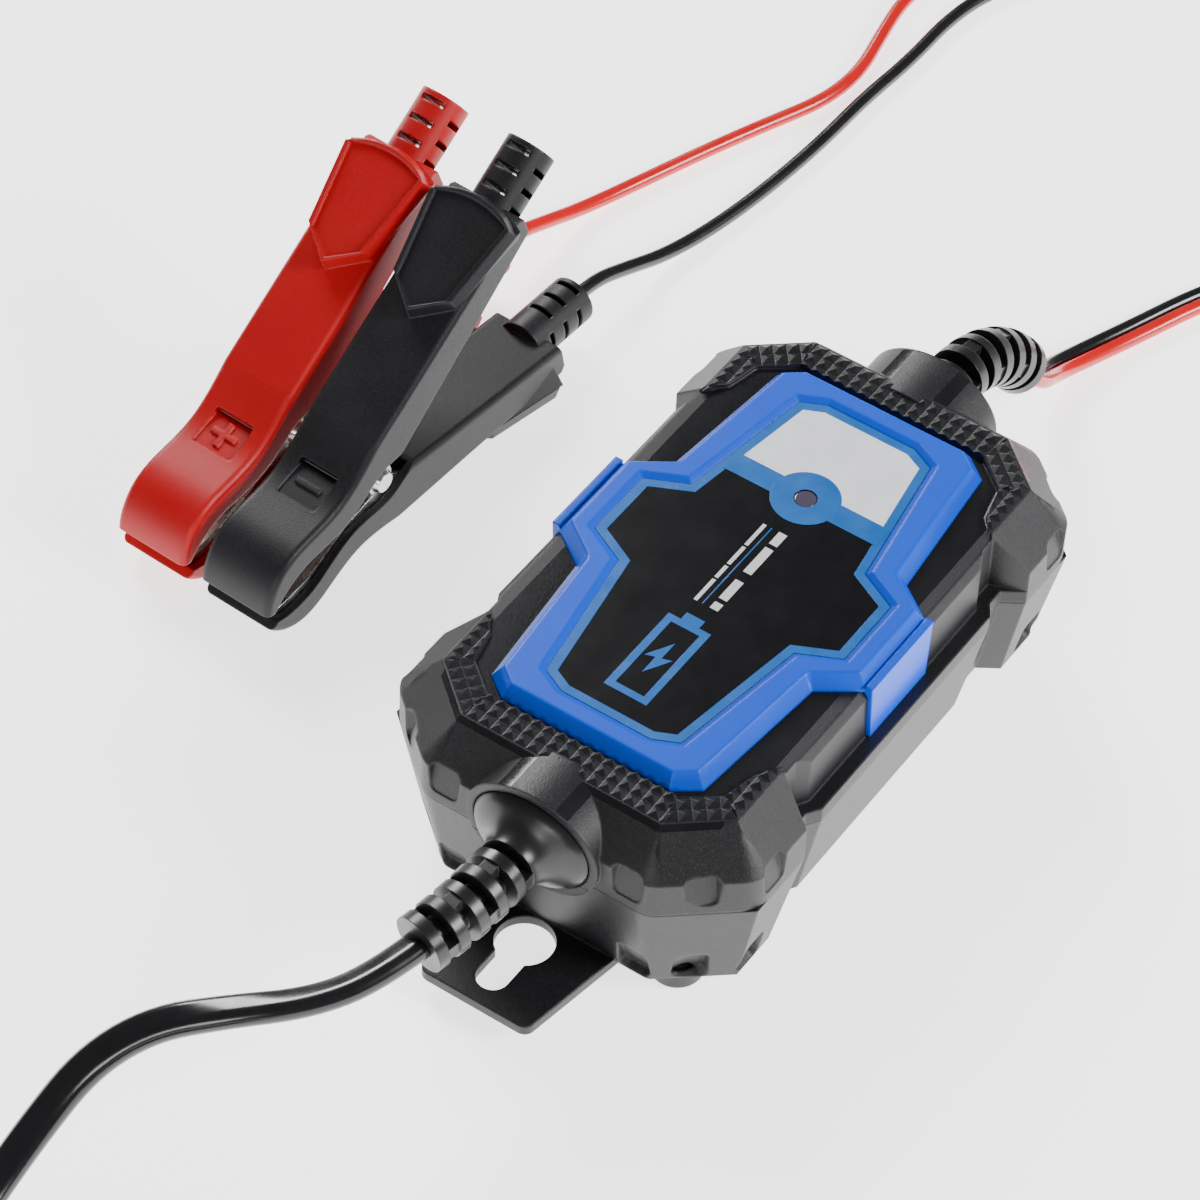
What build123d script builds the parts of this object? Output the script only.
from build123d import *
import os
from math import atan, cos, degrees, pi, radians, sin, tan

# A small smart battery charger: a two-part housing that stands on four feet, a blue bezel round its label,
# a mains lead at the -X end, and a DC lead at the +X end that divides into two wires with a clamp on each.
# Millimetres. +X runs along the housing to its DC end, +Z is up, and Z = 0 is the surface it stands on.

# ---- housing ----
housing_x = 7.35  # housing centre along X: the ear's tip and the far hood are then equally far from the origin
half_length = 59.6
half_width = 35.9
corner_y = 22.0  # the straight part of each end wall ends here
corner_x = 48.0  # and the straight part of each side wall here
base_z = 3.0
part_z = 25.7  # where the two halves meet
shoulder_z = 33.0  # where the walls start to slope in
rim_z = 40.6
deck_z = 39.8
crown_taper = 42.0
draft = 10.6  # the lower half narrows towards its base
wall = 2.5
ledge = 2.8  # height of the band above the joint line, along the waist
waist_upper = 31.0
notch_upper = 29.5
waist_lower = 33.8
notch_lower = 32.2

# ---- feet, screws and ear ----
foot_x = 48.0
foot_y = 21.4
foot_r = 4.6
screw_r = 1.4
screw_head_r = 2.6
ear_tip = 76.3
ear_root_half = 15.0
ear_tip_half = 10.8
ear_thick = 2.0
keyhole_x = 61.3
keyhole_r = 5.2
keyslot_r = 2.9
keyslot_x = 70.4

# ---- cable reliefs ----
relief_z = 30.4
neck = 7.5
flange_thick = 1.0
ring_pitch = 4.2
ring_thick = 2.2
ring_r = 5.35
core_r = 2.7
groove_r = 5.6
flange_r = 7.2
flange_half = (11.2, 9.1)  # the relief's outer flange is an oval: half its width and half its height
hood_half = (12.9, 10.8)
hood_out = {-1: 1.0, 1: 2.0}  # how far it stands out at the mains end and at the DC end
hood_gap = 0.2  # between the flange and the collar round it

# ---- bezel and label ----
label_z = 41.9
label_thick = 0.9
crest_z = 42.6
bezel_taper = 35.0
bezel_quarter = [(45.9, 16.5), (42.5, 20.9), (14.5, 23.5), (9.4, 30.6)]
label_quarter = [(40.0, 8.7), (37.8, 13.3), (10.8, 17.4), (7.1, 24.8)]
window_half = [(21.7, 14.6), (37.5, 12.2), (39.0, 9.2)]
ring_x = 19.4
led_r = 2.0
tab_half = 9.4
tab_low_half = 8.6
tab_bottom = 28.6

# ---- board ----
board_z = 11.0
board_thick = 1.6
board_half_l = 43.0
board_half_w = 25.0
post_x = 38.0
post_y = 21.0

# ---- clamps ----
grip_half = 7.7
grip_skin = 1.5
pad_half = 9.3
pad_front = 22.6  # the tip of the thumb pad, along the handle
pad_back = 44.2
pad_root = 4.2  # how deep in the handle the pad starts to flare
pad_high = 2.8
pad_dish = 0.6
clamp_azimuth = -3.0
clamp_spacing = 19.1
black_pivot_x = 8.1
black_pivot_y = 80.6
nose_low = (-23.0, 9.4)  # a line between these two points of a grip's outer face lies along the surface
nose_bulge = 0.55  # how far the nose's curve stands out past that line
pad_low = (42.0, 28.3)
ear_r = 3.0
rivet_r = 1.5
pin_clearance = 0.05

# ---- cords ----
mains_d = 5.2  # the round section with the same area as the flat flex, 6.2 by 3.9
lead_d = 4.0  # the same for the pair, two wires of 2.8 side by side
wire_d = 2.8
lead_in = 30.0  # a coil's solid runs on this far along its tangents, to where the cord is clear of its turns
mains_coil_at = (-190.5, 6.0)
mains_coil_rings = (26.5, 39.5, 12.0)  # inner radius, outer radius, height
dc_coil_at = (205.0, -30.0)
dc_coil_rings = (24.0, 36.0, 9.0)
dc_arrival = 220.0  # where round its coil the DC pair arrives, in degrees
plug_x = mains_coil_at[0] - (mains_coil_rings[0] + mains_coil_rings[1]) / 2
plug_back = mains_coil_at[1] - lead_in
plug_z = 6.85  # half the plug's thickness
plug_length = 53.0  # with its relief
pin_apart = 18.6
pin_length = 19.0
pin_sleeve = 9.0  # the length next to the plug that is sleeved, and slightly slimmer

os.makedirs("parts", exist_ok=True)


def save(solid, name):
    """Label one sub-part and write its file."""
    solid.label = name
    export_step(solid, f"parts/{name}.step")


def four_way(quarter):
    """A closed outline from its points in the +X +Y quarter, listed from the X axis to the Y axis."""
    upper = quarter + [(-x, y) for x, y in reversed(quarter)]
    return upper + [(x, -y) for x, y in reversed(upper)]


def level(z):
    """The horizontal plane at height z, centred on the housing."""
    return Plane(origin=(housing_x, 0, z))


def polygon(points):
    """A face from its corner points, inside a sketch."""
    Polygon(*points, align=None)


corner = [(half_length, corner_y), (corner_x, half_width)]


def side(waist, notch):
    """The stepped waist between two corner bumpers, in the +X +Y quarter."""
    return corner + [(34.5, half_width), (32.0, notch), (28.5, notch), (26.0, waist)]


def end_plane(end, x):
    """A plane across the housing at distance x from its centre, with its normal pointing out of that end."""
    return Plane(origin=(housing_x + end * x, 0, relief_z), x_dir=(0, end, 0), z_dir=(end, 0, 0))


def hood(end):
    """The raised collar round a cable relief, from inside the end wall outwards."""
    with BuildSketch(end_plane(end, half_length - 9.0)) as collar:
        Ellipse(*hood_half)
    extrude(collar.sketch, amount=9.0 + hood_out[end])


def relief_seat(end):
    """The bores that hold a relief's cone, neck and inner flange."""
    with BuildSketch(end_plane(end, half_length)) as pocket:
        Ellipse(flange_half[0] + hood_gap, flange_half[1] + hood_gap)
    extrude(pocket.sketch, amount=hood_out[end], mode=Mode.SUBTRACT)
    for near, depth, radius in (
        (half_length - 12.0, 13.0, groove_r),
        (half_length - 10.0, 10.0 - wall, flange_r + 0.2),
    ):
        with BuildSketch(end_plane(end, near)) as bore:
            Circle(radius)
        extrude(bore.sketch, amount=depth, mode=Mode.SUBTRACT)


dimple_spots = [(59.6, 18.0, 0.0), (54.1, 28.8, 50.2), (43.5, 35.9, 90.0)]


def dimples(low, high, inset, depth, lean):
    """Rounded finger dimples in the end face, the corner and the side of each bumper."""
    for end in (1, -1):
        for flank in (1, -1):
            for x, y, turn in dimple_spots:
                out = Vector(end * cos(radians(turn)), flank * sin(radians(turn)), 0)
                at = Vector(housing_x + end * x, flank * y, (low + high) / 2) - out * inset
                with BuildSketch(Plane(origin=at, x_dir=(-out.Y, out.X, 0), z_dir=out + Vector(0, 0, lean))) as cut:
                    RectangleRounded(5.2, high - low, 1.2)
                extrude(cut.sketch, amount=depth, taper=-25, mode=Mode.SUBTRACT)


# ================= housing =================

with BuildPart() as crown:  # the outer form of the upper half, without its waist
    with BuildSketch(level(part_z)) as crown_plan:
        polygon(four_way(corner))
        fillet(crown_plan.vertices(), 6.0)
    extrude(amount=shoulder_z - part_z)
    with BuildSketch(level(shoulder_z)) as slope_plan:
        polygon(four_way(corner))
        fillet(slope_plan.vertices(), 6.0)
    extrude(amount=rim_z - shoulder_z, taper=crown_taper)

with BuildPart() as top_shell:
    with BuildSketch(level(part_z)):
        polygon(four_way(side(waist_upper, notch_upper)))
    extrude(amount=rim_z - part_z)
    with BuildSketch(level(part_z)):
        polygon(four_way(side(waist_lower, notch_lower)))
    extrude(amount=ledge)
    add(crown.part, mode=Mode.INTERSECT)
    # the sunken deck round the bezel, open to the sides along the waist
    with BuildSketch(level(deck_z)):
        polygon(four_way([(46.5, 18.6), (41.8, 24.6), (35.4, 26.0), (31.0, 30.0), (30.0, 34.0)]))
    extrude(amount=rim_z - deck_z, mode=Mode.SUBTRACT)
    # raised chevrons on the deck beside the bezel
    for end in (1, -1):
        for flank in (1, -1):
            chevron = [(37.6, 23.2), (15.9, 25.2), (13.0, 29.2), (15.4, 29.2), (17.3, 27.0), (35.6, 25.4)]
            placed = [(end * x, flank * y) for x, y in chevron]
            with BuildSketch(level(deck_z)):
                polygon(placed if end * flank > 0 else placed[::-1])
            extrude(amount=0.7, taper=20)
    # pockets in the side walls for the bezel's tabs
    for flank in (1, -1):
        with BuildSketch(Plane(origin=(housing_x, flank * waist_upper, 0), x_dir=(-flank, 0, 0), z_dir=(0, flank, 0))):
            polygon([(-tab_half, 41), (tab_half, 41), (tab_low_half, tab_bottom), (-tab_low_half, tab_bottom)])
        extrude(amount=-0.7, mode=Mode.SUBTRACT)
    # inside
    with BuildSketch(level(part_z)):
        RectangleRounded(2 * (half_length - wall), 2 * 28.2, 9.0)
    extrude(amount=6.6, mode=Mode.SUBTRACT)
    with BuildSketch(level(part_z)):
        RectangleRounded(2 * 52.0, 2 * 27.6, 8.0)
    extrude(amount=12.0, mode=Mode.SUBTRACT)
    for end in (1, -1):
        hood(end)
        relief_seat(end)
    dimples(27.6, 33.4, 0.9, 6.0, 0.25)
    # screw bosses that meet the columns of the lower half
    with BuildSketch(level(part_z)):
        with GridLocations(2 * foot_x, 2 * foot_y, 2, 2):
            Circle(3.6)
    extrude(amount=12.2)
    with BuildSketch(level(part_z)):
        with GridLocations(2 * foot_x, 2 * foot_y, 2, 2):
            Circle(screw_r)
    extrude(amount=7.0, mode=Mode.SUBTRACT)
    # light openings under the window and the round lens
    with BuildSketch(level(part_z)):
        with Locations((30.0, 0)):
            Rectangle(12.0, 18.0)
        with Locations((ring_x, 0)):
            Circle(led_r)
    extrude(amount=20.0, mode=Mode.SUBTRACT)
    split(bisect_by=Plane.XY.offset(part_z), keep=Keep.TOP)
save(top_shell.part, "top_shell")

with BuildPart() as bottom_shell:
    with BuildSketch(level(part_z)) as lower_plan:
        polygon(four_way(side(waist_lower, notch_lower)))
        fillet(lower_plan.vertices().group_by(Axis.X)[0], 6.0)
        fillet(lower_plan.vertices().group_by(Axis.X)[-1], 6.0)
    extrude(amount=base_z - part_z, taper=draft)
    chamfer(bottom_shell.faces().sort_by(Axis.Z)[0].edges(), 1.2)
    with BuildSketch(level(part_z)):
        RectangleRounded(2 * (half_length - wall), 2 * 29.6, 9.0)
    extrude(amount=base_z + 2.0 - part_z, taper=draft, mode=Mode.SUBTRACT)
    for end in (1, -1):
        hood(end)
        relief_seat(end)
    dimples(5.4, 12.0, 4.2, 6.0, -0.35)
    # feet, and the columns above them that the screws go up through
    with BuildSketch(level(0)):
        with GridLocations(2 * foot_x, 2 * foot_y, 2, 2):
            Circle(foot_r)
    extrude(amount=base_z + 1.5, taper=-3)
    chamfer(bottom_shell.faces().sort_by(Axis.Z)[0:4].edges(), 0.6)
    with BuildSketch(level(base_z)):
        with GridLocations(2 * foot_x, 2 * foot_y, 2, 2):
            Circle(3.6)
    extrude(amount=part_z - base_z)
    with BuildSketch(level(0)):
        with GridLocations(2 * foot_x, 2 * foot_y, 2, 2):
            Circle(screw_r + 0.3)
    extrude(amount=part_z, mode=Mode.SUBTRACT)
    with BuildSketch(level(0)):
        with GridLocations(2 * foot_x, 2 * foot_y, 2, 2):
            Circle(screw_head_r + 0.2)
    extrude(amount=4.0, mode=Mode.SUBTRACT)
    # posts for the board
    with BuildSketch(level(base_z + 1.0)):
        with GridLocations(2 * post_x, 2 * post_y, 2, 2):
            Circle(2.6)
    extrude(amount=board_z - base_z - 1.0)
    with BuildSketch(level(board_z)):
        with GridLocations(2 * post_x, 2 * post_y, 2, 2):
            Circle(1.0)
    extrude(amount=-5.5, mode=Mode.SUBTRACT)
    # the mounting ear
    with BuildSketch(level(base_z)) as ear_plan:
        polygon([(-50, ear_root_half), (-ear_tip, ear_tip_half), (-ear_tip, -ear_tip_half), (-50, -ear_root_half)])
        fillet(ear_plan.vertices().group_by(Axis.X)[0], 2.0)
    extrude(amount=ear_thick)
    with BuildSketch(level(base_z)):
        with Locations((-keyhole_x, 0)):
            Circle(keyhole_r)
        with Locations((-(keyhole_x + keyslot_x) / 2, 0)):
            SlotCenterToCenter(keyslot_x - keyhole_x, 2 * keyslot_r)
    extrude(amount=ear_thick, mode=Mode.SUBTRACT)
    split(bisect_by=Plane.XY.offset(part_z), keep=Keep.BOTTOM)
save(bottom_shell.part, "bottom_shell")

with BuildPart() as housing_screws:
    with BuildSketch(level(2.0)):
        with GridLocations(2 * foot_x, 2 * foot_y, 2, 2):
            Circle(screw_head_r)
    extrude(amount=2.0)
    with BuildSketch(level(2.0)):
        with GridLocations(2 * foot_x, 2 * foot_y, 2, 2):
            Rectangle(3.2, 0.8)
            Rectangle(0.8, 3.2)
    extrude(amount=1.1, mode=Mode.SUBTRACT)
    with BuildSketch(level(4.0)):
        with GridLocations(2 * foot_x, 2 * foot_y, 2, 2):
            Circle(screw_r)
    extrude(amount=27.0)
save(housing_screws.part, "housing_screws")

# ================= bezel, label and window =================

with BuildPart() as bezel:
    with BuildSketch(level(deck_z)):
        polygon(four_way(bezel_quarter))
    extrude(amount=crest_z - deck_z, taper=bezel_taper)
    fillet(bezel.faces().sort_by(Axis.Z)[-1].edges(), 0.5)
    # the pocket that the label lies in, widening towards the crest
    with BuildSketch(level(label_z - label_thick)):
        polygon(four_way(label_quarter))
    extrude(amount=label_thick, mode=Mode.SUBTRACT)
    with BuildSketch(level(label_z)):
        polygon(four_way(label_quarter))
    extrude(amount=2.0, taper=-58, mode=Mode.SUBTRACT)
    # light openings
    with BuildSketch(level(deck_z)):
        with Locations((30.0, 0)):
            Rectangle(12.0, 18.0)
        with Locations((ring_x, 0)):
            Circle(led_r)
    extrude(amount=4.0, mode=Mode.SUBTRACT)
    # the tabs that hang down the side walls
    for flank in (1, -1):
        at = (housing_x, flank * (waist_upper - 0.7), 0)
        with BuildSketch(Plane(origin=at, x_dir=(-flank, 0, 0), z_dir=(0, flank, 0))):
            polygon([(-tab_half, 41), (tab_half, 41), (tab_low_half, tab_bottom), (-tab_low_half, tab_bottom)])
        extrude(amount=1.5, mode=Mode.ADD)
save(bezel.part, "bezel")

with BuildPart() as face_label:
    with BuildSketch(level(label_z - label_thick)):
        polygon(four_way(label_quarter))
        polygon(window_half + [(x, -y) for x, y in reversed(window_half)])
    extrude(amount=label_thick)
    with BuildSketch(level(label_z - label_thick)):
        polygon(window_half + [(x, -y) for x, y in reversed(window_half)])
        with Locations((ring_x, 0)):
            Circle(led_r)
    extrude(amount=label_thick, mode=Mode.SUBTRACT)
save(face_label.part, "face_label")

with BuildPart() as display_window:
    with BuildSketch(level(label_z - label_thick)):
        polygon(window_half + [(x, -y) for x, y in reversed(window_half)])
    extrude(amount=label_thick)
    with BuildSketch(level(deck_z - 1.5)):
        with Locations((30.0, 0)):
            Rectangle(11.6, 17.6)
    extrude(amount=label_z - label_thick - deck_z + 1.5)
save(display_window.part, "display_window")

with BuildPart() as status_led_lens:
    with BuildSketch(level(deck_z - 1.5)):
        with Locations((ring_x, 0)):
            Circle(led_r - 0.02)
    extrude(amount=label_z - deck_z + 1.5)
    fillet(status_led_lens.faces().sort_by(Axis.Z)[-1].edges(), 0.3)
save(status_led_lens.part, "status_led_lens")

# ================= cable reliefs =================


def relief(end, rings, bend, lean):
    """A ribbed cable relief; its tail bends towards lean. Returns the solid, its tip and the tip's direction."""
    origin = Vector(housing_x + end * half_length, 0, relief_z)
    out = Vector(end, 0, 0)
    lean = Vector(*lean).normalized()
    bend_r = rings * ring_pitch / radians(bend)

    def station(s):
        """The point and direction of the tail's centreline, s along it from the end of the neck."""
        turn = s / bend_r
        at = origin + out * (neck + bend_r * sin(turn)) + lean * (bend_r * (1 - cos(turn)))
        return at, out * cos(turn) + lean * sin(turn)

    def across(s):
        """The plane across the tail at s."""
        at, heading = station(s)
        return Plane(origin=at, x_dir=heading.cross(Vector(0, 0, 1)), z_dir=heading)

    flare = [(flange_thick, *flange_half), (2.2, 10.2, 8.5), (3.6, 7.7, 7.0), (5.2, 5.9, 5.8), (neck, 5.25, 5.2)]
    with BuildPart() as body:
        with BuildSketch(Plane(origin=origin, x_dir=out, z_dir=(0, -end, 0))):
            with BuildLine():
                Polyline((0.5, 0), (-4.5, 0), (-4.5, 7.2), (-2.6, 7.2), (-2.6, 5.55), (0.5, 5.55), (0.5, 0))
            make_face()
        revolve(axis=Axis(origin, out))
        with BuildSketch(end_plane(end, half_length + 0.05)):
            Ellipse(*flange_half)
        extrude(amount=flange_thick - 0.05)
        for beyond, half_wide, half_high in flare:
            with BuildSketch(end_plane(end, half_length + beyond)):
                Ellipse(half_wide, half_high)
        loft()
        with BuildLine() as centre:
            ThreePointArc(station(0)[0], station(rings * ring_pitch / 2)[0], station(rings * ring_pitch)[0])
        with BuildSketch(across(0)):
            Circle(core_r)
        sweep(path=centre.line)
        gap = ring_pitch - ring_thick
        for i in range(rings):
            with BuildSketch(across(i * ring_pitch + gap + ring_thick / 2)):
                Circle(ring_r)
            extrude(amount=ring_thick / 2, both=True)
            with BuildSketch(across(i * ring_pitch + gap / 2)):
                Rectangle(2 * ring_r - 0.8, 2.6, rotation=90 * (i % 2))
            extrude(amount=gap / 2 + 0.5, both=True)
    tip, heading = station(rings * ring_pitch)
    return body.part, tip, heading


mains_relief, mains_tip, mains_heading = relief(-1, 5, 16.0, (0, 0.9, -0.43))
save(mains_relief, "mains_strain_relief")
dc_relief, dc_tip, dc_heading = relief(1, 6, 58.0, (0, -0.2, -0.98))
save(dc_relief, "dc_strain_relief")
print("mains tip", mains_tip, mains_heading, "dc tip", dc_tip, dc_heading)

# ================= board =================


def block(name, x, y, low, size):
    """A box-shaped part standing at height low on the board."""
    with BuildPart() as made:
        with BuildSketch(level(low)):
            with Locations((x, y)):
                Rectangle(size[0], size[1])
        extrude(amount=size[2])
        chamfer(made.faces().sort_by(Axis.Z)[-1].edges(), 0.3)
    save(made.part, name)


def can(name, x, y, radius, height):
    """An upright round capacitor with a crimped groove near its foot."""
    with BuildPart() as made:
        with BuildSketch(level(top_z)):
            with Locations((x, y)):
                Circle(radius)
        extrude(amount=height)
        with BuildSketch(level(top_z + 1.5)):
            with Locations((x, y)):
                Circle(radius + 1)
                Circle(radius - 0.4, mode=Mode.SUBTRACT)
        extrude(amount=0.8, mode=Mode.SUBTRACT)
        fillet(made.faces().sort_by(Axis.Z)[-1].edges(), 0.4)
    save(made.part, name)


top_z = board_z + board_thick

with BuildPart() as circuit_board:
    with BuildSketch(level(board_z)):
        RectangleRounded(2 * board_half_l, 2 * board_half_w, 2.0)
        with GridLocations(2 * post_x, 2 * post_y, 2, 2):
            Circle(1.2, mode=Mode.SUBTRACT)
    extrude(amount=board_thick)
save(circuit_board.part, "circuit_board")

with BuildPart() as board_screws:
    with BuildSketch(level(top_z)):
        with GridLocations(2 * post_x, 2 * post_y, 2, 2):
            Circle(2.1)
    extrude(amount=1.4)
    with BuildSketch(level(top_z + 1.4)):
        with GridLocations(2 * post_x, 2 * post_y, 2, 2):
            Rectangle(2.6, 0.6)
            Rectangle(0.6, 2.6)
    extrude(amount=-0.8, mode=Mode.SUBTRACT)
    with BuildSketch(level(top_z)):
        with GridLocations(2 * post_x, 2 * post_y, 2, 2):
            Circle(1.0)
    extrude(amount=-7.0)
save(board_screws.part, "board_screws")

core_x = -4.0
with BuildPart() as transformer_core:
    with BuildSketch(level(top_z)):
        with Locations((core_x, 0)):
            Rectangle(20.0, 7.0)
    extrude(amount=16.0)
    with BuildSketch(Plane(origin=(housing_x + core_x, 0, top_z + 8.0), x_dir=(1, 0, 0), z_dir=(0, -1, 0))):
        with Locations((-5.5, 0), (5.5, 0)):
            Rectangle(4.6, 10.4)
    extrude(amount=10, both=True, mode=Mode.SUBTRACT)
save(transformer_core.part, "transformer_core")

with BuildPart() as transformer_winding:
    with BuildSketch(level(top_z + 3.0)):
        with Locations((core_x, 0)):
            RectangleRounded(15.2, 15.0, 3.0)
            Rectangle(6.4, 7.0, mode=Mode.SUBTRACT)
    extrude(amount=10.0)
save(transformer_winding.part, "transformer_winding")

can("input_capacitor", -25.0, -10.0, 6.0, 17.0)
can("output_capacitor", 22.0, 12.0, 5.0, 15.0)
block("bridge_rectifier", -24.0, 7.0, top_z, (10.0, 6.0, 4.0))
block("safety_capacitor", -32.0, 16.0, top_z, (6.0, 6.0, 9.0))
block("control_chip", 13.0, -14.0, top_z, (8.0, 6.0, 1.8))
block("power_mosfet", 14.0, 4.5, top_z, (4.0, 10.0, 14.0))

with BuildPart() as heatsink:
    with BuildSketch(level(top_z)):
        with Locations((10.6, 4.5)):
            Rectangle(2.0, 14.0)
        with Locations((9.0, -1.5), (9.0, 10.5)):
            Rectangle(3.2, 2.0)
    extrude(amount=16.0)
save(heatsink.part, "heatsink")

with BuildPart() as fuse:
    with BuildSketch(Plane(origin=(housing_x - 38.0, -8.0, top_z + 2.6), x_dir=(1, 0, 0), z_dir=(0, -1, 0))):
        Circle(2.4)
    extrude(amount=9.0)
    fillet(fuse.edges(), 0.4)
save(fuse.part, "fuse")

with BuildPart() as indicator_leds:
    with BuildSketch(level(top_z)):
        with Locations((26.0, -5.0), (30.0, 0.0), (34.0, 5.0)):
            Rectangle(3.0, 3.0)
    extrude(amount=1.4)
    with BuildSketch(level(top_z + 1.4)):
        with Locations((26.0, -5.0), (30.0, 0.0), (34.0, 5.0)):
            Circle(1.2)
    extrude(amount=1.0)
    fillet(indicator_leds.faces().sort_by(Axis.Z)[-3:].edges(), 0.5)
save(indicator_leds.part, "indicator_leds")


def core_ends(name, end, landing, apart):
    """The two insulated wire ends from a relief's inner flange to the board."""
    with BuildPart() as made:
        for flank in (1, -1):
            start = Vector(housing_x + end * (half_length - 4.5), flank * apart, relief_z)
            above = Vector(housing_x + end * (landing + 4.0), flank * apart, relief_z)
            pad = Vector(housing_x + end * landing, flank * (apart + 3.0), top_z)
            over = Vector(pad.X, pad.Y, relief_z - 5.0)
            with BuildLine() as route:
                FilletPolyline(start, above, over, pad, radius=2.0)
            with BuildSketch(Plane(origin=start, z_dir=above - start)):
                Circle(0.9)
            sweep(path=route.line)
    save(made.part, name)


core_ends("mains_core_ends", -1, 41.0, 1.6)
core_ends("output_core_ends", 1, 39.0, 1.6)

# ================= clamps =================

clamp_tilt = atan((pad_low[1] - nose_low[1]) / (pad_low[0] + abs(nose_low[0])))
pivot_z = abs(nose_low[0]) * sin(clamp_tilt) + nose_low[1] * cos(clamp_tilt) + nose_bulge
turned = radians(clamp_azimuth)
along = Vector(cos(turned) * cos(clamp_tilt), sin(turned) * cos(clamp_tilt), sin(clamp_tilt))
opening = Vector(-cos(turned) * sin(clamp_tilt), -sin(turned) * sin(clamp_tilt), cos(clamp_tilt))
black_pivot = Vector(black_pivot_x, black_pivot_y, pivot_z)
red_pivot = black_pivot + Vector(-sin(turned), cos(turned), 0) * clamp_spacing
print("clamp pivots", black_pivot, red_pivot, "tilt", degrees(clamp_tilt), "along", along, "opening", opening)

# one half of a clamp in its own frame: x runs from the rivet to the handle's end, z away from the other half
nose_curve = [(-33.4, 2.3), (-30.4, 6.6), (-26.6, 8.9), (-23.0, 9.4), (-16.0, 8.4), (-10.5, 8.2), (-5.0, 9.8), (0, 12.2)]
free_curve = [(8.0, 3.4), (4.6, 3.4), (0, 4.3), (-5.0, 3.2), (-10.5, 2.0), (-16.0, 2.6), (-22.0, 3.9), (-27.5, 3.3)]
tang_curve = [(-31.0, 3.0), (-29.2, 5.6), (-26.0, 7.1), (-22.6, 7.5), (-16.0, 6.6), (-10.5, 6.4), (-5.0, 8.0), (0, 10.3)]
handle_angle = atan(13.6 / 44.0)
tang_end = 24.2
plate = 0.8
roof = plate / 2 + 0.05  # the channel clears the jaw by 0.05
stub_start = 44.0
stub_end = 59.6
stub_depth = 5.1


def half_frame(pivot, flip):
    """The frame of one half of a clamp: the upper half, or, with flip -1, the lower one."""
    return Plane(origin=pivot, x_dir=along, z_dir=opening * flip)


def profile_plane(frame):
    """The clamp's middle plane, with sketch x and y along the half's own x and z."""
    return Plane(origin=frame.origin, x_dir=frame.x_dir, z_dir=-frame.y_dir)


def handle_plane(frame, s, depth):
    """The plane along a handle's outer face, s along it from the rivet and depth under it."""
    run = frame.x_dir * cos(handle_angle) + frame.z_dir * sin(handle_angle)
    out = frame.z_dir * cos(handle_angle) - frame.x_dir * sin(handle_angle)
    at = frame.origin + frame.z_dir * 12.2 + run * s - out * depth
    return Plane(origin=at, x_dir=run, z_dir=out)


def stub_plane(frame, s):
    """The plane across a half's wire stub at s, with its normal along the handle."""
    face = handle_plane(frame, s, stub_depth)
    return Plane(origin=face.origin, x_dir=face.y_dir, z_dir=face.x_dir)


def pad_outline(grow):
    """The shield-shaped thumb pad, as x and y along the handle."""
    side = pad_half - grow
    shoulder = 6.9 - grow
    with BuildLine() as edge:
        Line((pad_front + 5.4, -shoulder), (pad_back, -side))
        ThreePointArc((pad_back, -side), (pad_back + 3.2 - grow, 0), (pad_back, side))
        Polyline((pad_back, side), (pad_front + 5.4, shoulder), (pad_front + grow, 0), (pad_front + 5.4, -shoulder))
    return edge.line


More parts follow.
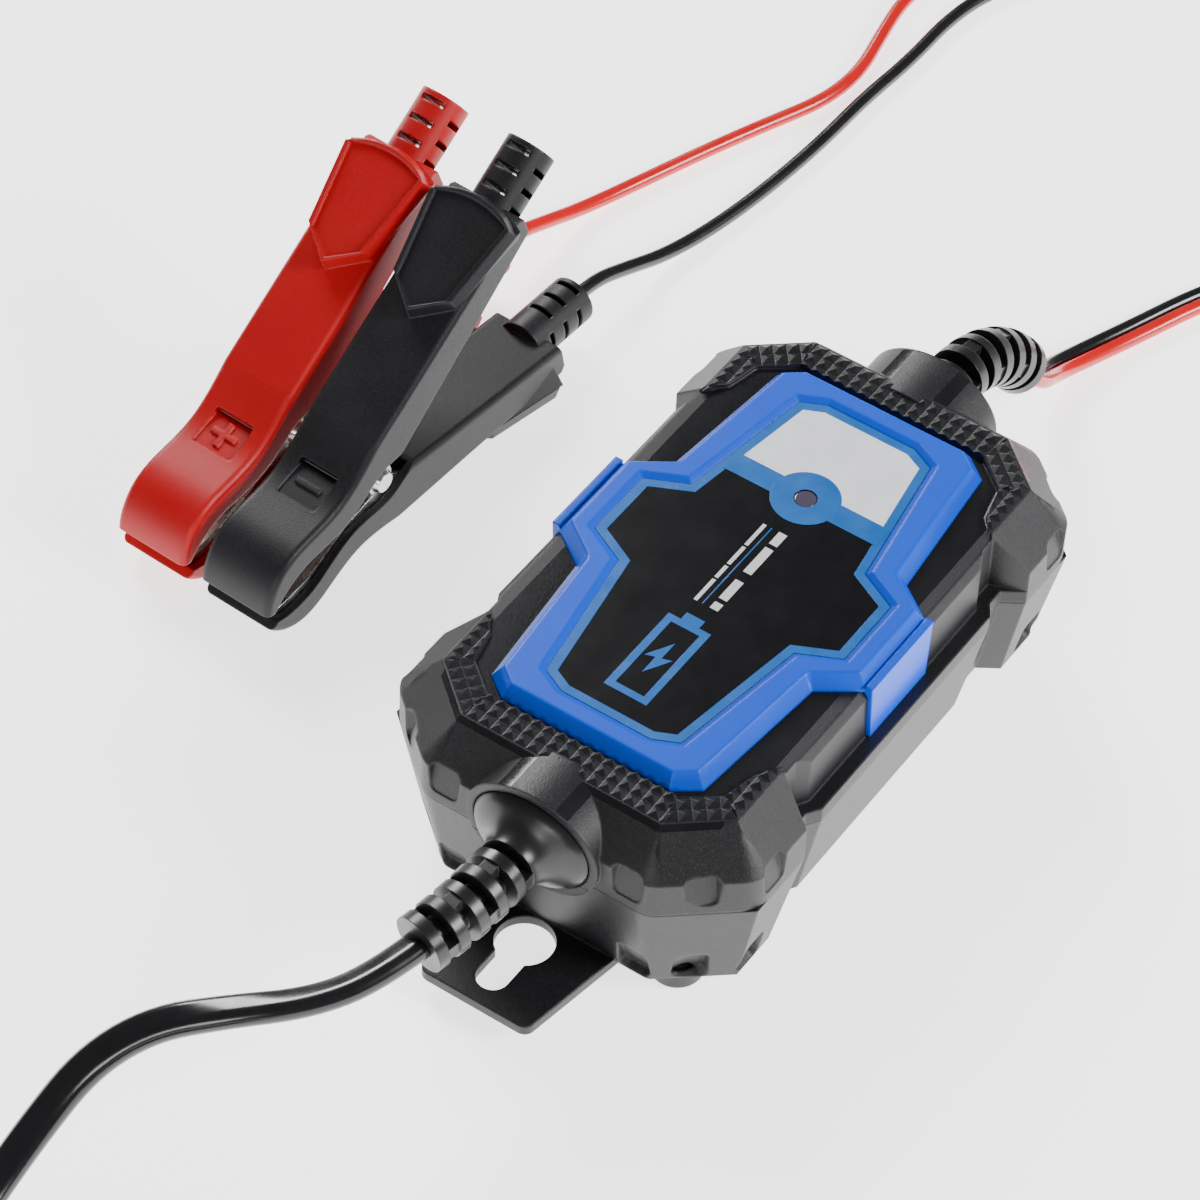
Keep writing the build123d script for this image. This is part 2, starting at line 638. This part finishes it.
def grip(frame, name, cross):
    """A moulded grip: a channel over the jaw, a solid handle with a thumb pad, and a ribbed wire stub."""
    side_plane = profile_plane(frame)
    with BuildPart() as made:
        with BuildSketch(side_plane):
            with BuildLine():
                Spline(*nose_curve)
                Line((0, 12.2), (44.0, 25.8))
                Polyline((44.0, 25.8), (46.0, 24.2), (46.4, 19.0), (8.0, 3.4))
                Spline(*free_curve, (-31.6, 1.4))
                Line((-31.6, 1.4), (-33.4, 2.3))
            make_face()
        extrude(amount=grip_half, both=True)
        outer = made.edges().filter_by(lambda e: abs(frame.to_local_coords(e.center()).Z) > 7.0)
        outer = outer.filter_by(lambda e: abs(abs(frame.to_local_coords(e.center()).Y) - grip_half) < 0.01)
        fillet(outer.filter_by(lambda e: frame.to_local_coords(e.center()).X < 40.0), 1.2)
        # the channel that the jaw lies in
        with BuildSketch(side_plane):
            with BuildLine():
                Spline(*[(x, z + roof) for x, z in tang_curve])
                Polyline((0, 10.3 + roof), (6.7, 12.37 + roof), (6.7, -6.0), (-31.6, -6.0))
                Polyline((-31.6, -6.0), (-31.6, 3.4), (-31.0, 3.0 + roof))
            make_face()
            with BuildLine():
                Spline(*tang_curve)
            trace(line_width=2 * roof)
        extrude(amount=grip_half - grip_skin, both=True, mode=Mode.SUBTRACT)
        # the slot for the jaw's tang
        with BuildSketch(handle_plane(frame, (6.0 + tang_end) / 2, 1.9)):
            Rectangle(tang_end - 6.0, 9.0)
        extrude(amount=plate / 2, both=True, mode=Mode.SUBTRACT)
        # the thumb pad, flared from the handle and dished inside its rim
        with BuildSketch(handle_plane(frame, 0, pad_root)):
            make_face(pad_outline(1.6))
        extrude(amount=pad_root, taper=-20)
        with BuildSketch(handle_plane(frame, 0, 0)):
            make_face(pad_outline(0.0))
        extrude(amount=pad_high, taper=12)
        with BuildSketch(handle_plane(frame, 0, pad_dish - pad_high)):
            make_face(pad_outline(1.5))
        extrude(amount=2 * pad_dish, mode=Mode.SUBTRACT)
        # the polarity mark in its square recess
        mark = Plane(origin=frame.from_local_coords((-10.6, 0, 7.75)), x_dir=frame.x_dir, z_dir=frame.z_dir)
        with BuildSketch(mark):
            RectangleRounded(7.6, 8.4, 0.6)
        extrude(amount=3.0, mode=Mode.SUBTRACT)
        with BuildSketch(mark):
            Rectangle(1.1, 5.2)
            if cross:
                Rectangle(5.2, 1.1)
        extrude(amount=0.4)
        # the wire stub
        with BuildSketch(stub_plane(frame, stub_start)):
            Circle(4.7)
        extrude(amount=stub_end - stub_start)
        for i in range(6):
            with BuildSketch(stub_plane(frame, stub_start + 3.4 + 2.0 * i)):
                Rectangle(4.8 if i % 2 else 11.0, 11.0 if i % 2 else 4.8)
            extrude(amount=1.1, mode=Mode.SUBTRACT)
        with BuildSketch(stub_plane(frame, stub_end)):
            Circle(wire_d / 2 + 0.02)
        extrude(amount=-24.0, mode=Mode.SUBTRACT)
    save(made.part, name)


def jaw(frame, name, half, hole):
    """A pressed metal jaw: a curved roof with a tang, two cheeks that end in lugs, and a toothed lip."""
    side_plane = profile_plane(frame)
    with BuildPart() as made:
        with BuildSketch(side_plane):
            with BuildLine() as spine:
                Spline(*tang_curve)
                Line((0, 10.3), (6.5, 12.31))
            trace(line_width=plate)
        extrude(amount=half, both=True)
        with BuildSketch(handle_plane(frame, (6.2 + tang_end) / 2, 1.9)):
            Rectangle(tang_end - 6.2, 9.0)
        extrude(amount=plate / 2, both=True)
        for flank in (1, -1):
            cheek = Plane(origin=side_plane.origin + frame.y_dir * flank * half, x_dir=frame.x_dir, z_dir=-frame.y_dir)
            with BuildSketch(cheek):
                with BuildLine():
                    Spline(*tang_curve)
                    Polyline((0, 10.3), (5.6, 12.0), (5.6, 5.0), (2.6, 1.5), (-2.6, 1.5), (-10.5, 1.0), (-22.0, 2.6))
                    Polyline((-22.0, 2.6), (-28.0, 1.4), (-31.0, 0.8), (-31.0, 3.0))
                make_face()
                Circle(ear_r)
                Circle(hole, mode=Mode.SUBTRACT)
            extrude(amount=flank * plate)
        lip = Plane(origin=frame.from_local_coords((-31.4, 0, 0)), x_dir=frame.y_dir, z_dir=frame.x_dir)
        with BuildSketch(lip):
            with Locations((0, 2.0)):
                Rectangle(2 * half, 2.2)
            for tooth in range(4):
                at = (tooth - 1.5) * half / 2
                Polygon((at - 1.3, 1.0), (at + 1.3, 1.0), (at, 0.15), align=None)
        extrude(amount=plate)
    save(made.part, name)


def rivet(frame, name, outside):
    """The pivot: a shaft through both jaws' lugs, with a domed head at each end."""
    with BuildPart() as made:
        for flank in (1, -1):
            with BuildSketch(Plane(origin=frame.origin, x_dir=frame.x_dir, z_dir=frame.y_dir * flank)):
                Circle(rivet_r)
            extrude(amount=outside + 1.0)
            head = Plane(origin=frame.origin + frame.y_dir * flank * outside, x_dir=frame.x_dir, z_dir=frame.y_dir * flank)
            with BuildSketch(head):
                Circle(2.4)
            extrude(amount=1.1, taper=25)
    save(made.part, name)


def spring(frame, name):
    """The torsion spring: its wound barrel round the rivet, and a leg against each jaw."""
    with BuildPart() as made:
        barrel = Plane(origin=frame.origin - frame.y_dir * 3.8, x_dir=frame.x_dir, z_dir=frame.y_dir)
        with BuildSketch(barrel):
            Circle(2.9)
            Circle(1.8, mode=Mode.SUBTRACT)
        extrude(amount=7.6)
        for flip in (1, -1):
            foot = frame.origin + frame.x_dir * 2.2 + frame.z_dir * flip * 1.6 + frame.y_dir * flip * 3.2
            run = frame.x_dir * 2.6 + frame.z_dir * flip * 8.4
            with BuildSketch(Plane(origin=foot, z_dir=run)):
                Circle(0.5)
            extrude(amount=run.length)
    save(made.part, name)


def terminal(frame, name):
    """The end of the wire inside the stub, with the crimp that joins it to the lower jaw's tang."""
    with BuildPart() as made:
        with BuildSketch(stub_plane(frame, stub_end)):
            Circle(wire_d / 2)
        extrude(amount=-24.0)
        for near in (14.8, 17.0, 19.2):
            with BuildSketch(stub_plane(frame, stub_end - near)):
                Circle(wire_d)
                Circle(wire_d / 2 - 0.4, mode=Mode.SUBTRACT)
            extrude(amount=-0.7, mode=Mode.SUBTRACT)
    save(made.part, name)


for colour, pivot in (("red", red_pivot), ("black", black_pivot)):
    upper = half_frame(pivot, 1)
    lower = half_frame(pivot, -1)
    grip(upper, f"{colour}_upper_grip", colour == "red")
    grip(lower, f"{colour}_lower_grip", colour == "red")
    jaw(upper, f"{colour}_upper_jaw", 5.2, rivet_r + pin_clearance)
    jaw(lower, f"{colour}_lower_jaw", 6.1, rivet_r)
    rivet(lower, f"{colour}_rivet", 6.15)
    spring(lower, f"{colour}_spring")
    terminal(lower, f"{colour}_terminal")

# ================= cords =================


def tube(name, points, diameter):
    """The plain round tube of a cord: straight runs joined by tangent arcs as large as the runs allow."""
    points = [Vector(*p) for p in points]
    runs = [after - before for before, after in zip(points, points[1:])]
    radii = []
    for before, after in zip(runs, runs[1:]):
        half_turn = radians(before.get_angle(after)) / 2
        radii.append(0.45 * min(before.length, after.length) / tan(half_turn))
    with BuildPart() as made:
        with BuildLine() as route:
            FilletPolyline(*points, radius=radii)
        with BuildSketch(Plane(origin=points[0], z_dir=runs[0])):
            Circle(diameter / 2)
        sweep(path=route.line)
    long = sum(edge.length for edge in route.edges())
    share = made.part.volume / (long * pi * diameter**2 / 4)
    print(name, "length", round(long, 1), "volume over section times length", round(share, 4))
    print("    radii", [round(radius, 1) for radius in radii])
    save(made.part, name)


def coil(name, at, rings, ends):
    """The outer shape of a round coil on the surface, with the start of the cord at each of its ends."""
    inner, outer, height = rings
    mean = (inner + outer) / 2
    with BuildPart() as made:
        with BuildSketch(Plane(origin=(*at, 0))):
            Circle(outer)
            Circle(inner, mode=Mode.SUBTRACT)
        extrude(amount=height)
        for angle, way, low, wide, high in ends:
            round_to = radians(angle)
            touch = (at[0] + mean * cos(round_to), at[1] + mean * sin(round_to), low)
            heading = (-way * sin(round_to), way * cos(round_to), 0)
            with BuildSketch(Plane(origin=touch, x_dir=heading, z_dir=(0, 0, 1))):
                Rectangle(lead_in, wide, align=(Align.MIN, Align.CENTER))
            extrude(amount=high)
    save(made.part, name)


# from the mains relief, across the drop beside the ear, to the surface and its coil
mains_route = [
    mains_tip,
    mains_tip + mains_heading * 9.5,
    (-99.0, 10.6, 27.4),
    (-107.0, 20.6, 26.0),
    (-113.8, 30.4, 22.6),
    (-122.0, 37.0, 16.2),
    (-132.0, 39.5, 8.8),
    (-143.4, 39.9, 4.0),
    (-152.4, 39.0, 2.65),
    (-160.5, 39.0, 2.65),
]
tube("mains_cord", mains_route, mains_d)
coil("mains_coil", mains_coil_at, mains_coil_rings, [(90, -1, 0.05, 5.2, 5.2), (180, 1, 4.25, 5.2, 5.2)])

# from the DC relief down to the surface and its coil
dc_route = [
    dc_tip,
    dc_tip + dc_heading * 4.5,
    (101.9, -3.4, 11.0),
    (106.6, -2.3, 7.4),
    (112.8, -2.1, 4.4),
    (121.3, -3.9, 2.6),
    (132.2, -7.5, 2.05),
    (145.0, -12.3, 2.05),
    (155.6, -17.8, 2.05),
    (162.7, -26.3, 2.05),
]
tube("dc_lead", dc_route, lead_d)
coil("dc_coil", dc_coil_at, dc_coil_rings, [(dc_arrival, -1, 0.05, 4.0, 4.0), (360, 1, 0.05, 5.6, 2.8)])

# the two wires from the pair's end to the clamps
red_lower = half_frame(red_pivot, -1)
black_lower = half_frame(black_pivot, -1)
split_x = dc_coil_at[0] + (dc_coil_rings[0] + dc_coil_rings[1]) / 2
split_y = dc_coil_at[1] + lead_in
red_route = [
    (split_x + 1.4, split_y, 1.45),
    (split_x + 1.4, 13.0, 1.45),
    (236.0, 33.0, 1.45),
    (226.5, 53.0, 1.45),
    (211.0, 68.0, 1.45),
    (196.5, 75.5, 1.45),
    (183.5, 76.5, 1.45),
    (171.5, 73.4, 1.45),
    (160.0, 71.2, 1.45),
    (149.5, 72.6, 1.45),
    (138.5, 78.0, 1.45),
    (124.5, 83.8, 1.45),
    (109.5, 89.6, 1.45),
    (97.0, 93.6, 2.6),
    (86.5, 95.2, 6.2),
    stub_plane(red_lower, stub_end + 6.5).origin,
    stub_plane(red_lower, stub_end).origin,
]
tube("red_wire", red_route, wire_d)
black_route = [
    (split_x - 1.4, split_y, 1.45),
    (split_x - 1.4, 12.0, 1.45),
    (230.5, 27.0, 1.45),
    (222.0, 44.0, 1.45),
    (209.5, 56.5, 1.45),
    (197.0, 63.8, 1.45),
    (184.5, 66.2, 1.45),
    (170.0, 65.6, 1.45),
    (155.5, 66.8, 1.45),
    (139.5, 66.7, 1.45),
    (124.0, 67.8, 1.45),
    (109.0, 69.9, 1.45),
    (96.0, 73.0, 2.6),
    (85.5, 75.8, 6.2),
    stub_plane(black_lower, stub_end + 6.5).origin,
    stub_plane(black_lower, stub_end).origin,
]
tube("black_wire", black_route, wire_d)

# the two-pin plug, which lies beside its coil
with BuildPart() as plug_body:
    with BuildSketch(Plane(origin=(plug_x, plug_back, plug_z), z_dir=(0, -1, 0))):
        Circle(3.4)
    extrude(amount=18.0, taper=-4)
    with BuildSketch(Plane(origin=(plug_x, plug_back - 16.0, 0), x_dir=(0, -1, 0), z_dir=(0, 0, 1))) as plug_plan:
        polygon([(0, -7.0), (16, -12.0), (37, -17.65), (37, 17.65), (16, 12.0), (0, 7.0)])
        fillet(plug_plan.vertices().group_by(Axis.Y)[-1], 3.0)
        fillet(plug_plan.vertices().group_by(Axis.Y)[0], 2.0)
    extrude(amount=2 * plug_z)
    chamfer(plug_body.faces().sort_by(Axis.Z)[-1].edges(), 2.0)
    chamfer(plug_body.faces().sort_by(Axis.Z)[0].edges(), 2.0)
save(plug_body.part, "plug_body")

with BuildPart() as plug_pins:
    for reach, length, radius in ((0.0, pin_sleeve, 1.9), (pin_sleeve, pin_length - pin_sleeve, 2.0)):
        pin_root = (plug_x, plug_back - plug_length - reach, plug_z)
        with BuildSketch(Plane(origin=pin_root, x_dir=(1, 0, 0), z_dir=(0, -1, 0))):
            with Locations((-pin_apart / 2, 0), (pin_apart / 2, 0)):
                Circle(radius)
        extrude(amount=length)
    fillet(plug_pins.faces().sort_by(Axis.Y)[0:2].edges(), 1.2)
save(plug_pins.part, "plug_pins")
